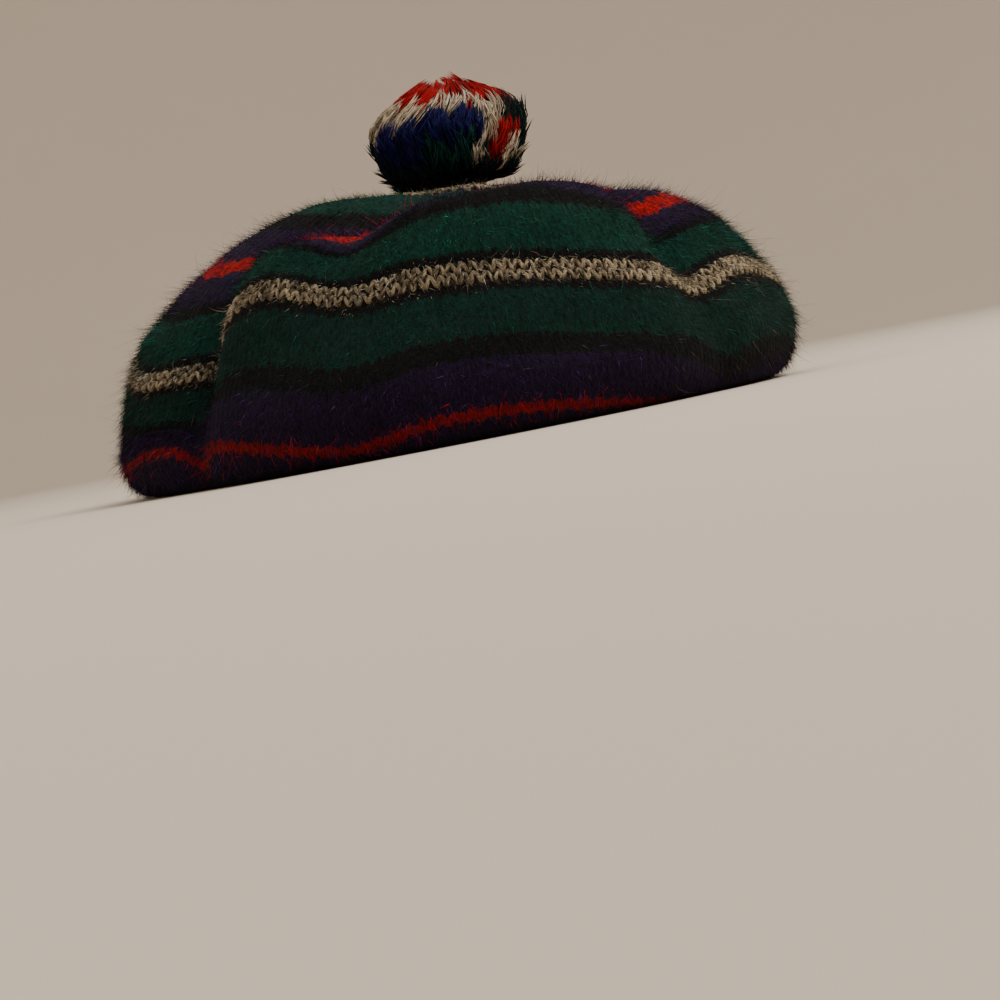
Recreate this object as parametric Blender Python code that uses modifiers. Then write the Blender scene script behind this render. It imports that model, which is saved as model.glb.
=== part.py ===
"""Knitted tam: a soft four-lobed crown of one piece of thick brushed knitting, with a yarn pompom on top.

The crown faces +Z and the hat lies on the flattened ring under its side. -Y is the wearer's front.
All lengths are in metres, and all azimuths in degrees from the front, anticlockwise seen from above.
"""

import math
import random
from typing import NamedTuple

import bmesh
import bpy
from mathutils import Matrix, Vector

# Sizes of the knitted body
CROWN_WIDTH = 0.254
CROWN_HEIGHT = 0.090
WALL = 0.0032
SEAT_WIDTH = 0.022
WIDEST_HEIGHT = 0.0185
REST_RING_WIDTH = 0.222
REST_RING_BREADTH = 0.009
OPENING_WIDTH = 0.170
OPENING_RISE = 0.006
HEM_BREADTH = 0.013
HEM_LAYERS = 2
HEM_ROWS = 3
RISE_CURVE = 1.4
CROWN_SHIFT = 0.0165
CROWN_SHIFT_AZIMUTH = 45.0

# Sizes of the pompom and of the yarn that ties it
POMPOM_WIDTH = 0.060
POMPOM_HEIGHT = 0.043
POMPOM_LOCK = 0.006
SHORTEST_LOCK = 0.55
LONGEST_LOCK = 1.15
LOWEST_LOCK = 0.15
LOCK_GROWTH = 3.0
LOCK_ROOT_DEPTH = 0.009
LOCK_TAPER = 0.0012
FOOT_WIDTH = 0.016
FOOT_HEIGHT = 0.0032
TIE_YARN = 0.0022
SEAT_GAP = 0.0003

# Fineness of the faceted walls and how they are shaded
COLUMNS = 96
ROUND_ROWS = 3
FOOT_SIDES = 24
TIE_SIDES = 28
TIE_YARN_SIDES = 8
BALL_SUBDIVISIONS = 3
POMPOM_SEED = 7
SHARP_ANGLE = 60.0
MERGE_DISTANCE = 0.00001

# The even profile of the side from the edge of the pompom's seat to its widest row: radius as a share
# of the half width, and height as a share of the way from the widest row up to the crown.
PROFILE = [
    # name, radius, height
    ("crown top", 0.180, 0.997),
    ("mound", 0.290, 0.972),
    ("mound side", 0.400, 0.927),
    ("upper slope", 0.510, 0.856),
    ("middle slope", 0.615, 0.767),
    ("shoulder", 0.712, 0.661),
    ("ridge", 0.800, 0.543),
    ("upper side", 0.878, 0.411),
    ("side", 0.940, 0.270),
    ("lower side", 0.982, 0.126),
    ("widest", 1.000, 0.000),
]


class Fold(NamedTuple):
    """One fold, droop or swelling of the soft side."""

    name: str
    azimuth: float
    half_width: float
    place: float
    reach: float
    inward: float
    drop: float
    lean: float = 0.0
    creased: bool = False


# Azimuth and half width are in degrees. Place is where a fold is deepest, as a share of the way from
# the crown's middle to the resting ring, and reach is how far it runs from there. Inward is a share of the
# half width, drop is a share of the crown height, and lean turns the lip of a crease over it, in degrees.
FOLDS = [
    # name, azimuth, half_width, place, reach, inward, drop, lean, creased
    Fold("front droop", -30.0, 38.0, 0.76, 0.12, -0.008, 0.020),
    Fold("front ridge", -33.0, 47.0, 0.54, 0.12, -0.020, -0.215),
    Fold("front face", -30.0, 34.0, 0.66, 0.08, 0.030, 0.000),
    Fold("front step", -50.0, 32.0, 0.36, 0.08, 0.000, 0.095),
    Fold("mound swelling", -125.0, 55.0, 0.20, 0.10, 0.000, -0.120),
    Fold("front lip", -82.0, 10.0, 0.58, 0.12, -0.030, -0.060),
    Fold("front dip", -66.0, 8.0, 0.52, 0.08, 0.010, 0.050),
    Fold("left crease", -95.0, 8.0, 0.66, 0.28, 0.140, 0.040, -6.5, True),
    Fold("left droop", -118.0, 24.0, 0.76, 0.16, -0.020, 0.130),
    Fold("left swelling", -122.0, 28.0, 0.62, 0.13, -0.110, 0.000),
    Fold("left rise", -124.0, 36.0, 0.42, 0.17, -0.020, -0.120),
    Fold("right dent", 3.0, 9.0, 0.64, 0.24, 0.125, -0.020, 3.0, True),
    Fold("right swelling", -8.0, 14.0, 0.66, 0.09, -0.010, -0.035),
    Fold("hollow under the front", -20.0, 15.0, 0.80, 0.05, 0.040, 0.000),
    Fold("right slope", 48.0, 34.0, 0.60, 0.20, -0.010, -0.030),
    Fold("crown dip", 62.0, 62.0, 0.26, 0.13, 0.000, 0.130),
    Fold("back right dent", 96.0, 9.0, 0.62, 0.24, 0.080, 0.040, 3.0, True),
    Fold("back droop", 140.0, 36.0, 0.66, 0.20, 0.000, 0.070),
    Fold("back step", 140.0, 34.0, 0.42, 0.09, 0.000, 0.050),
    Fold("back left dent", 186.0, 9.0, 0.66, 0.25, 0.090, 0.035, -3.0, True),
    Fold("hollow under the back", 150.0, 18.0, 0.80, 0.07, 0.030, 0.000),
]

# Folds fade out towards the pompom's seat over this share of the half width, and drops fade out
# below this share of the crown height, so that the seat and the resting ring stay flat.
FADE_TO_SEAT = 0.35
FADE_TO_GROUND = 0.25

# Shares of a fold's half width: the rounding of a crease's bottom, and how far beside the crease
# its lip leans over it.
CREASE_ROUNDING = 0.25
LIP_DISTANCE = 1.3

# Outline of the pompom over its foot: half width as a share of the pompom's half width,
# height as a share of the pompom's height.
POMPOM_OUTLINE = [
    # name, half width, height
    ("base middle", 0.00, 0.00),
    ("base", 0.62, 0.02),
    ("lower side", 0.92, 0.20),
    ("widest", 1.02, 0.50),
    ("upper side", 0.86, 0.80),
    ("top side", 0.50, 0.95),
    ("top", 0.00, 1.00),
]

COLOURS = {
    "knitted_body": ((0.010, 0.050, 0.038, 1.0), 0.95),
    "pompom": ((0.012, 0.016, 0.075, 1.0), 0.90),
    "pompom_tie": ((0.42, 0.36, 0.27, 1.0), 0.90),
}


def clear_scene():
    for obj in list(bpy.data.objects):
        bpy.data.objects.remove(obj)


def material(name):
    colour, roughness = COLOURS[name]
    made = bpy.data.materials.new(name)
    made.use_nodes = True
    shader = made.node_tree.nodes["Principled BSDF"]
    shader.inputs["Base Color"].default_value = colour
    shader.inputs["Roughness"].default_value = roughness
    shader.inputs["Metallic"].default_value = 0.0
    return made


def new_object(name, bm, collection):
    """Makes a named object of the mesh, with its own material, shaded smooth."""
    mesh = bpy.data.meshes.new(name)
    bm.to_mesh(mesh)
    bm.free()
    mesh.shade_smooth()
    mesh.set_sharp_from_angle(angle=math.radians(SHARP_ANGLE))
    obj = bpy.data.objects.new(name, mesh)
    obj.data.materials.append(material(name))
    collection.objects.link(obj)
    return obj


def toward(azimuth, radius, height=0.0):
    """The point at this azimuth and distance from the middle."""
    angle = math.radians(azimuth)
    return Vector((radius * math.sin(angle), -radius * math.cos(angle), height))


def put_with_helpers(obj):
    """Moves a cutter or a joined shape to the collection that isn't rendered."""
    helpers = bpy.data.collections.get("helpers")
    if helpers is None:
        helpers = bpy.data.collections.new("helpers")
        bpy.context.scene.collection.children.link(helpers)
    for collection in list(obj.users_collection):
        collection.objects.unlink(obj)
    helpers.objects.link(obj)
    obj.hide_render = True
    obj.display_type = "WIRE"


def turned_by(azimuth, from_azimuth):
    """The turn between two azimuths, from -180 to 180 degrees."""
    return (azimuth - from_azimuth + 180.0) % 360.0 - 180.0


def swell(distance, half_width):
    """A soft bump, 1 in its middle."""
    return math.exp(-((distance / half_width) ** 2))


def crease(distance, half_width):
    """A bump with a narrow middle, as cloth has where it is tucked in."""
    rounding = CREASE_ROUNDING * half_width
    return math.exp(-(math.hypot(distance, rounding) - rounding) / (half_width - rounding))


def body_rows():
    """Radius, height and share of the way to the resting ring of each row, from the seat down."""
    half = CROWN_WIDTH / 2
    opening = OPENING_WIDTH / 2
    ring_outside = (REST_RING_WIDTH + REST_RING_BREADTH) / 2
    ring_inside = (REST_RING_WIDTH - REST_RING_BREADTH) / 2
    rows = [(SEAT_WIDTH / 2, CROWN_HEIGHT)]
    for _, radius, height in PROFILE:
        rows.append((radius * half, WIDEST_HEIGHT + height * (CROWN_HEIGHT - WIDEST_HEIGHT)))
    for step in range(1, ROUND_ROWS + 1):
        turned = step / ROUND_ROWS * math.pi / 2
        radius = ring_outside + (half - ring_outside) * math.cos(turned)
        rows.append((radius, WIDEST_HEIGHT * (1.0 - math.sin(turned))))
    on_ground = len(rows) - 1
    hem_edge = min(opening + HEM_BREADTH, (opening + ring_inside) / 2)
    under = (ring_inside + hem_edge) / 2
    inner_radii = (ring_inside, under, hem_edge, (hem_edge + opening) / 2, opening)
    for radius in inner_radii:
        risen = (ring_inside - radius) / (ring_inside - opening)
        rows.append((radius, OPENING_RISE * risen**RISE_CURVE))
    lengths = [rows[0][0]]
    for before, after in zip(rows, rows[1:]):
        lengths.append(lengths[-1] + math.dist(before, after))
    way = lengths[on_ground]
    return [(radius, height, length / way) for (radius, height), length in zip(rows, lengths)]


def folded(azimuth, radius, height, share):
    """The place of one point of the skin, with every fold worked in."""
    half = CROWN_WIDTH / 2
    inward, drop, turn = 0.0, 0.0, 0.0
    for fold in FOLDS:
        across = turned_by(azimuth, fold.azimuth)
        along = swell(share - fold.place, fold.reach)
        depth = along * (crease if fold.creased else swell)(across, fold.half_width)
        inward += fold.inward * half * depth
        drop += fold.drop * CROWN_HEIGHT * depth
        if fold.lean:
            lip = math.copysign(LIP_DISTANCE * fold.half_width, -fold.lean)
            turn += fold.lean * along * swell(across - lip, fold.half_width)
    from_seat = min(1.0, (radius - SEAT_WIDTH / 2) / (FADE_TO_SEAT * half))
    from_ground = min(1.0, height / (FADE_TO_GROUND * CROWN_HEIGHT))
    shift = CROWN_SHIFT * max(0.0, 1.0 - share)
    point = toward(azimuth + turn, radius - inward * from_seat, height - drop * from_seat * from_ground)
    return point + toward(CROWN_SHIFT_AZIMUTH, shift)


def seat_point():
    """The middle of the crown, where the pompom sits."""
    return toward(CROWN_SHIFT_AZIMUTH, CROWN_SHIFT, CROWN_HEIGHT)


def make_body(collection):
    """The skin starts as the pompom's round seat and grows by extruding its rim, row after row."""
    rows = body_rows()
    bm = bmesh.new()
    start = rows[0][0]
    seat = bmesh.ops.create_circle(bm, cap_ends=True, cap_tris=True, segments=COLUMNS, radius=start)
    rim = [edge for edge in bm.edges if edge.is_boundary]
    rings = [[vert for vert in seat["verts"] if vert.is_boundary]]
    for radius, _, _ in rows[1:]:
        grown = bmesh.ops.extrude_edge_only(bm, edges=rim)["geom"]
        ring = [item for item in grown if isinstance(item, bmesh.types.BMVert)]
        rim = [item for item in grown if isinstance(item, bmesh.types.BMEdge) and item.is_boundary]
        for vert in ring:
            scale = radius / math.hypot(vert.co.x, vert.co.y)
            vert.co.x *= scale
            vert.co.y *= scale
        rings.append(ring)
    middle = next(vert for vert in bm.verts if not vert.is_boundary and vert.co.length < MERGE_DISTANCE)
    middle.co = seat_point()
    for ring, (radius, height, share) in zip(rings, rows):
        for vert in ring:
            azimuth = math.degrees(math.atan2(vert.co.x, -vert.co.y))
            vert.co = folded(azimuth, radius, height, share)
    bmesh.ops.recalc_face_normals(bm, faces=bm.faces)
    if middle.normal.z < 0:
        bmesh.ops.reverse_faces(bm, faces=bm.faces)
    bm.verts.index_update()
    hem = [vert.index for ring in rings[-HEM_ROWS:] for vert in ring]
    body = new_object("knitted_body", bm, collection)
    layers = body.vertex_groups.new(name="layers")
    layers.add(range(len(body.data.vertices)), 1.0 / HEM_LAYERS, "REPLACE")
    layers.add(hem, 1.0, "REPLACE")
    wall = body.modifiers.new("wall", "SOLIDIFY")
    wall.thickness = WALL * HEM_LAYERS
    wall.offset = -1.0
    wall.use_even_offset = True
    wall.vertex_group = layers.name
    return body


def pompom_outline(latitude):
    """Half width and height of the ball at a latitude, read from its outline by a smooth curve."""
    last = len(POMPOM_OUTLINE) - 1
    share = (latitude / math.pi + 0.5) * last
    row = min(int(share), last - 1)
    before, here, after, beyond = (
        Vector(POMPOM_OUTLINE[max(0, min(last, row + step))][1:]) for step in (-1, 0, 1, 2)
    )
    leave, arrive = (after - before) / 2, (beyond - here) / 2
    t = share - row
    point = here * (2 * t**3 - 3 * t**2 + 1) + leave * (t**3 - 2 * t**2 + t)
    point += after * (3 * t**2 - 2 * t**3) + arrive * (t**3 - t**2)
    return max(0.0, point.x) * POMPOM_WIDTH / 2, max(0.0, point.y) * POMPOM_HEIGHT


def make_pompom(collection):
    """A ball of locks on a narrow foot: each facet of the ball grows into a lock that leans outwards."""
    chance = random.Random(POMPOM_SEED)
    foot = seat_point() + Vector((0.0, 0.0, SEAT_GAP))
    base = foot + Vector((0.0, 0.0, FOOT_HEIGHT))
    core = 1.0 - 2.0 * POMPOM_LOCK / POMPOM_WIDTH
    bm = bmesh.new()
    bmesh.ops.create_icosphere(bm, subdivisions=BALL_SUBDIVISIONS, radius=1.0)
    for vert in bm.verts:
        azimuth = math.degrees(math.atan2(vert.co.x, -vert.co.y))
        across, up = pompom_outline(math.asin(max(-1.0, min(1.0, vert.co.z))))
        vert.co = base + toward(azimuth, across * core, up * core)
    facets = list(bm.faces)
    bmesh.ops.inset_individual(bm, faces=facets, thickness=LOCK_TAPER)
    root = foot - Vector((0.0, 0.0, LOCK_ROOT_DEPTH))
    for face in facets:
        middle = face.calc_center_median()
        risen = (middle.z - base.z) / POMPOM_HEIGHT
        length = POMPOM_LOCK * chance.uniform(SHORTEST_LOCK, LONGEST_LOCK)
        length *= min(1.0, LOWEST_LOCK + LOCK_GROWTH * risen)
        bmesh.ops.translate(bm, verts=face.verts, vec=(middle - root).normalized() * length)
    ball = new_object("pompom", bm, collection)
    bpy.ops.mesh.primitive_cylinder_add(
        vertices=FOOT_SIDES, radius=FOOT_WIDTH / 2, depth=2 * FOOT_HEIGHT, location=base
    )
    stem = bpy.context.object
    stem.name = "pompom_foot"
    put_with_helpers(stem)
    joined = ball.modifiers.new("foot", "BOOLEAN")
    joined.operation = "UNION"
    joined.solver = "EXACT"
    joined.object = stem
    return ball


def make_tie(collection):
    """One round of yarn drawn tight round the pompom's foot, lying on the crown."""
    bm = bmesh.new()
    yarn = TIE_YARN / 2
    start = seat_point() + toward(0.0, FOOT_WIDTH / 2 + SEAT_GAP + yarn, SEAT_GAP + yarn)
    across_the_yarn = Matrix.Translation(start) @ Matrix.Rotation(math.pi / 2, 4, "Y")
    bmesh.ops.create_circle(bm, segments=TIE_YARN_SIDES, radius=yarn, matrix=across_the_yarn)
    bmesh.ops.spin(
        bm,
        geom=bm.verts[:] + bm.edges[:],
        cent=seat_point(),
        axis=(0.0, 0.0, 1.0),
        angle=2.0 * math.pi,
        steps=TIE_SIDES,
        use_merge=True,
    )
    bmesh.ops.remove_doubles(bm, verts=bm.verts, dist=MERGE_DISTANCE)
    bmesh.ops.recalc_face_normals(bm, faces=bm.faces)
    return new_object("pompom_tie", bm, collection)


def set_on_origin(body):
    """Carries every piece on one empty, so that the body's outline is centred over the origin."""
    carrier = bpy.data.objects.new("carrier", None)
    bpy.context.scene.collection.objects.link(carrier)
    for obj in list(bpy.data.objects):
        if obj is not carrier:
            obj.parent = carrier
    for axis in (0, 1):
        places = [vert.co[axis] for vert in body.data.vertices]
        carrier.location[axis] = -(min(places) + max(places)) / 2


def main():
    clear_scene()
    collection = bpy.data.collections.new("tam_o_shanter")
    bpy.context.scene.collection.children.link(collection)
    body = make_body(collection)
    make_pompom(collection)
    make_tie(collection)
    set_on_origin(body)


main()
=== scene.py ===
# %% [markdown]
# # A brushed tam o shanter
#
# A tam is one round bag of thick knitting. It is knitted in rings of colour, shrunk and brushed until hairs
# stand up all over it, and a pompom is tied to the middle of its crown.
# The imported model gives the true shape. This file dresses it: the fabric, its stitches, its hairs and its yarn.
# Everything is in metres, with +Z up and -Y towards the wearer's front.

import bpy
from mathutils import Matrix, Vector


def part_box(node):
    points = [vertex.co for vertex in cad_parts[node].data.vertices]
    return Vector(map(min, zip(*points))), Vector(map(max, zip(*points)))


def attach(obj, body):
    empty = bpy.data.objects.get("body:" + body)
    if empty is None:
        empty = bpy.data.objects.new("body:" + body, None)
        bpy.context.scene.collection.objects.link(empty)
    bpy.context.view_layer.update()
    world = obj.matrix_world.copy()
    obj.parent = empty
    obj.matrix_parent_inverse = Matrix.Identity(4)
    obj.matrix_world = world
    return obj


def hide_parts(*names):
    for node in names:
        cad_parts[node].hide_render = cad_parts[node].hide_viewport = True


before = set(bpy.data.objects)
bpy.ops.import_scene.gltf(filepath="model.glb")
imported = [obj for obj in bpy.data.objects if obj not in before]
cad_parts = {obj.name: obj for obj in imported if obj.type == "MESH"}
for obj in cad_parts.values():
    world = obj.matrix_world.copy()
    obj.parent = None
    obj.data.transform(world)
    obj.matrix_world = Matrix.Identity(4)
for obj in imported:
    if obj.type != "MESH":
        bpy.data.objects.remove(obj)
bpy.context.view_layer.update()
print("CAD nodes:", sorted(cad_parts))

# %% [markdown]
# ## Reading the cloth's shape
#
# Knitting has courses, the rows that run round the hat, and wales, the columns that run from the crown down.
# To lay stitches and stripes we need the skin as a grid of courses and wales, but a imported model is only
# triangles. So rays are sent at it from outside, along one meridian after another, and from below for the part
# that lies under the hat. The hits make a grid that lies exactly on the solid, whatever its folds are.

# %% Send rays at the solid
import math

import bpy
import numpy as np
from mathutils import Quaternion, Vector
from mathutils.bvhtree import BVHTree

READ_MERIDIANS = 288
READ_STEPS = 150
READ_UNDER = 14
LOWEST_ELEVATION = -20.5
EYE_HEIGHT = 0.045
HEM_HEIGHT = 0.009
FAR_AWAY = 0.4
TIE_GAP = 0.0003

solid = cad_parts["knitted_body"]
solid_skin = BVHTree.FromPolygons(
    [vertex.co for vertex in solid.data.vertices],
    [polygon.vertices for polygon in solid.data.polygons],
)
tie_low, tie_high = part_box("pompom_tie")
crown = np.array((tie_low + tie_high) / 2)
crown[2] = tie_low.z - TIE_GAP


def toward(azimuth, radius=1.0, height=0.0):
    """Points at azimuths in degrees from the front, anticlockwise seen from above."""
    angle = np.radians(azimuth)
    return np.stack(np.broadcast_arrays(radius * np.sin(angle), -radius * np.cos(angle), height), axis=-1)


def ray_hit(start, direction):
    return np.array(solid_skin.ray_cast(Vector(start), Vector(direction))[0])


def read_meridian(azimuth):
    """Points on the skin from the middle of the crown, over the side and under it to the opening."""
    outward = toward(azimuth)
    points = []
    for elevation in np.linspace(90.0, LOWEST_ELEVATION, READ_STEPS):
        share = min(1.0, max(0.0, (elevation - 20.0) / 60.0))
        eye = np.array([crown[0] * share, crown[1] * share, EYE_HEIGHT])
        angle = math.radians(elevation)
        away = outward * math.cos(angle) + np.array([0.0, 0.0, math.sin(angle)])
        points.append(ray_hit(eye + away * FAR_AWAY, -away))
    ring = math.hypot(points[-1][0], points[-1][1])
    hem = ray_hit((0.0, 0.0, HEM_HEIGHT), outward)
    edge = math.hypot(hem[0], hem[1]) + 0.0004
    for radius in np.linspace(ring, edge, READ_UNDER + 1)[1:]:
        points.append(ray_hit(toward(azimuth, radius, -FAR_AWAY), (0.0, 0.0, 1.0)))
    return np.array(points)


readings = np.array([read_meridian(360.0 * k / READ_MERIDIANS) for k in range(READ_MERIDIANS)])
print("read", readings.shape[0], "meridians of", readings.shape[1], "points")

# %% [markdown]
# ## From faceted walls to soft cloth
#
# The solid has flat facets and cloth has none. Blurring the grid along and across the meridians rounds them off,
# as a subdivision surface would, but it keeps the grid's even spacing, which the stitches need.
# Each meridian is then cut into steps of equal length. The length from the crown, measured along the cloth, says
# which course a point lies on, so a fold carries its stripes down with it just as real knitting does.

# %% Smooth the grid and measure along the cloth
WALES = 144
COLUMNS = 6 * WALES
STEPS = 400
SMOOTH_COLUMNS = 3.2
SMOOTH_STEPS = 3.0
GROUND_HEIGHT = 0.0010


def blurred(values, sigma, axis, closed):
    """Gaussian blur along one axis of a grid, which may close on itself."""
    reach = int(3.0 * sigma) + 1
    weights = np.exp(-0.5 * (np.arange(-reach, reach + 1) / sigma) ** 2)
    padding = [(0, 0)] * values.ndim
    padding[axis] = (reach, reach)
    padded = np.pad(values, padding, mode="wrap" if closed else "edge")
    count = values.shape[axis]
    parts = [w * np.take(padded, range(k, k + count), axis=axis) for k, w in enumerate(weights)]
    return sum(parts) / weights.sum()


def lengths_along(points):
    """Length from the crown at every point of every meridian."""
    steps = np.linalg.norm(np.diff(points, axis=1), axis=2)
    return np.concatenate([np.zeros((len(points), 1)), np.cumsum(steps, axis=1)], axis=1)


def evenly_cut(points, count):
    """The same meridians, each cut into steps of equal length."""
    places = lengths_along(points)
    cut = np.empty((len(points), count, 3))
    for k, (line, place) in enumerate(zip(points, places)):
        wanted = np.linspace(0.0, place[-1], count)
        for axis in range(3):
            cut[k, :, axis] = np.interp(wanted, place, line[:, axis])
    return cut


def widened(points, factor):
    """More meridians, spread evenly between the ones that were read."""
    following = np.roll(points, -1, axis=0)
    shares = np.arange(factor)[None, :, None, None] / factor
    between = points[:, None] * (1.0 - shares) + following[:, None] * shares
    return between.reshape(-1, *points.shape[1:])


cloth = widened(evenly_cut(readings, STEPS), COLUMNS // READ_MERIDIANS)
on_ground = cloth[:, :, 2] < GROUND_HEIGHT
smooth = blurred(blurred(cloth, SMOOTH_COLUMNS, 0, True), SMOOTH_STEPS, 1, False)
smooth[:, :, 2] = np.where(on_ground, np.minimum(smooth[:, :, 2], cloth[:, :, 2]), smooth[:, :, 2])
smooth[:, 0] = crown
cloth = evenly_cut(smooth, STEPS)
cloth_lengths = lengths_along(cloth)[:, -1]
print("cloth from crown to opening: %.0f to %.0f mm" % (1000 * cloth_lengths.min(), 1000 * cloth_lengths.max()))

# %% [markdown]
# ## Hand-made unevenness
#
# Shrunk wool is never as even as a turned form: it has shallow dimples a finger wide. Random numbers, blurred to
# that width and added along the normals, give them. They fade out at the ground and under the pompom, where
# the cloth is held flat.

# %% Press shallow dimples into the cloth
DIMPLE_DEPTH = 0.0007
DIMPLE_COLUMNS = 16
DIMPLE_STEPS = 17

chance = np.random.default_rng(20)


def unit(vectors):
    return vectors / np.maximum(np.linalg.norm(vectors, axis=-1, keepdims=True), 1e-12)


def normals_of(points):
    """Outward normals of the grid, blurred a little so that hairs and stitches stand evenly."""
    across = np.roll(points, -1, axis=0) - np.roll(points, 1, axis=0)
    down = np.gradient(points, axis=1)
    found = np.cross(down, across)
    found[:, 0] = (0.0, 0.0, 1.0)
    found[:, 1:4] = found[:, 4:5]
    return unit(blurred(unit(found), 2.0, 0, True))


dimples = chance.normal(size=cloth.shape[:2])
dimples = blurred(blurred(dimples, DIMPLE_COLUMNS, 0, True), DIMPLE_STEPS, 1, False)
dimples *= DIMPLE_DEPTH / dimples.std()
free = np.clip((cloth[:, :, 2] - 0.004) / 0.012, 0.0, 1.0)
free *= np.clip((np.linalg.norm(cloth - crown, axis=2) - 0.014) / 0.015, 0.0, 1.0)
cloth += normals_of(cloth) * (dimples * free)[:, :, None]
cloth_normals = normals_of(cloth)
if (cloth_normals[:, STEPS // 2] * toward(np.linspace(0.0, 360.0, COLUMNS, endpoint=False))).sum() < 0.0:
    cloth_normals *= -1.0
print("dimples of up to %.1f mm" % (1000 * np.abs(dimples * free).max()))

# %% [markdown]
# ## Slack and tight courses
#
# Soft knitting isn't stretched alike all round. Where a lobe sags its courses slide down, and where the cloth is
# drawn up into a tuck they crowd together. Each row of this table is such a place: a smooth bump in how far the
# courses have moved along the cloth. Stripes, stitches and hairs all follow it.

# %% Say where the courses have moved
SLACK = [
    # azimuth, half width, length, half length, moved down by
    (-111.0, 15.0, 0.120, 0.055, 0.0160), (-130.0, 28.0, 0.120, 0.055, 0.0090),
    (-112.0, 18.0, 0.080, 0.030, 0.0080), (-77.0, 21.0, 0.135, 0.030, -0.0105),
    (-48.0, 25.0, 0.135, 0.030, -0.0022), (-58.0, 20.0, 0.086, 0.020, 0.0095),
    (-58.0, 20.0, 0.089, 0.009, 0.0035), (-14.0, 12.0, 0.082, 0.012, -0.0040),
    (18.0, 22.0, 0.133, 0.030, -0.0095), (-32.0, 24.0, 0.096, 0.007, -0.0045),
    (-75.0, 40.0, 0.034, 0.014, -0.0085), (-100.0, 15.0, 0.182, 0.022, -0.0140),
    (12.0, 16.0, 0.084, 0.020, 0.0080),
]


def moved(columns, lengths):
    """How far the courses have slid down the cloth at these places."""
    total = 0.0
    for azimuth, half_width, length, half_length, shift in SLACK:
        turned = (columns * 360.0 / COLUMNS - azimuth + 180.0) % 360.0 - 180.0
        total = total + shift * np.exp(-((turned / half_width) ** 2) - ((lengths - length) / half_length) ** 2)
    return total


print("courses moved by up to %.0f mm" % (1000 * max(abs(row[4]) for row in SLACK)))

# %% [markdown]
# ## A place on the cloth
#
# Stitches, hairs and stripes are all placed by two numbers: how far round the hat, in columns of the grid, and
# how far from the crown along the cloth. This helper turns them into a point and a normal.

# %% Find a point from a column and a length


def on_cloth(columns, lengths):
    """Points and normals at columns, counted round the hat, and at lengths from the crown."""
    columns = np.asarray(columns, float) % COLUMNS
    left = np.floor(columns).astype(int) % COLUMNS
    right = (left + 1) % COLUMNS
    share = (columns - np.floor(columns))[..., None]
    whole = cloth_lengths[left] * (1.0 - share[..., 0]) + cloth_lengths[right] * share[..., 0]
    lengths = np.asarray(lengths, float)
    step = np.clip((lengths + moved(columns, lengths)) / whole, 0.0, 1.0) * (STEPS - 1)
    upper = np.minimum(np.floor(step).astype(int), STEPS - 2)
    part = (step - upper)[..., None]

    def sample(grid):
        above = grid[left, upper] * (1.0 - share) + grid[right, upper] * share
        below = grid[left, upper + 1] * (1.0 - share) + grid[right, upper + 1] * share
        return above * (1.0 - part) + below * part

    return sample(cloth), unit(sample(cloth_normals))


check_point, _ = on_cloth(0.0, 0.10)
print("100 mm from the crown, at the front:", np.round(check_point, 3))

# %% [markdown]
# ## The rings of colour
#
# The stripes are a table of where each colour starts, in metres along the cloth from the crown. The colours are
# those of the dyed yarn in linear light, so they look darker as numbers than they do on the hat. The courses under
# the rim get darker copies of the green, purple and red: painted shade for the hat's own shadow on its underside.

# %% List the stripes and the dyes
DYES = {
    "cream": (0.235, 0.192, 0.130),
    "green": (0.0005, 0.030, 0.021),
    # Painted shade: the darker copies of green, purple and red below are for the courses under the rim, which face
    # away from the light.
    "deep_green": (0.0004, 0.018, 0.014),
    "purple": (0.0110, 0.0045, 0.0240),
    "deep_purple": (0.0088, 0.0030, 0.0205),
    "red": (0.30, 0.0025, 0.0035),
    "deep_red": (0.15, 0.0016, 0.0030),
    "black": (0.0022, 0.0022, 0.0030),
}
STRIPES = [
    (0.000, "black"), (0.006, "green"), (0.012, "purple"), (0.020, "red"), (0.024, "black"),
    (0.031, "cream"), (0.0395, "green"), (0.056, "black"), (0.064, "purple"), (0.0785, "red"),
    (0.085, "purple"), (0.098, "black"), (0.105, "green"), (0.123, "black"), (0.1278, "cream"),
    (0.1358, "black"), (0.139, "deep_green"), (0.156, "black"), (0.164, "deep_purple"),
    (0.1795, "deep_red"), (0.1835, "deep_purple"),
]
GAP_SHADE = (0.045, 0.036, 0.025)
RAMP_LENGTH = 0.24
COURSE = 0.0048


def stripe_at(lengths):
    """The name of the dye at each length."""
    starts = np.array([start for start, _ in STRIPES])
    names = np.array([name for _, name in STRIPES])
    return names[np.clip(np.searchsorted(starts, lengths, side="right") - 1, 0, len(names) - 1)]


print("stripes:", len(STRIPES), "dyes:", len(DYES))

# %% [markdown]
# ## Small helpers for materials
#
# A procedural material is a graph of nodes. Two short helpers keep the graphs readable: one adds a node and sets
# it up, the other does one step of arithmetic and hands back its output.

# %% Build node graphs in few words


def new_material(name, **settings):
    """A material whose Principled shader has these plain values."""
    made = bpy.data.materials.new(name)
    made.use_nodes = True
    shader = made.node_tree.nodes["Principled BSDF"]
    for socket, value in settings.items():
        shader.inputs[socket.replace("_", " ")].default_value = value
    return made, made.node_tree, shader


def add(tree, kind, inputs=None, **settings):
    """One node with its settings, and with values or links on its inputs."""
    made = tree.nodes.new(kind)
    for name, value in settings.items():
        setattr(made, name, value)
    for name, value in (inputs or {}).items():
        if isinstance(value, bpy.types.NodeSocket):
            tree.links.new(value, made.inputs[name])
        else:
            made.inputs[name].default_value = value
    return made


def calculate(tree, operation, *values):
    """One step of arithmetic, as the output socket of a Math node."""
    return add(tree, "ShaderNodeMath", dict(enumerate(values)), operation=operation).outputs[0]


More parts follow.
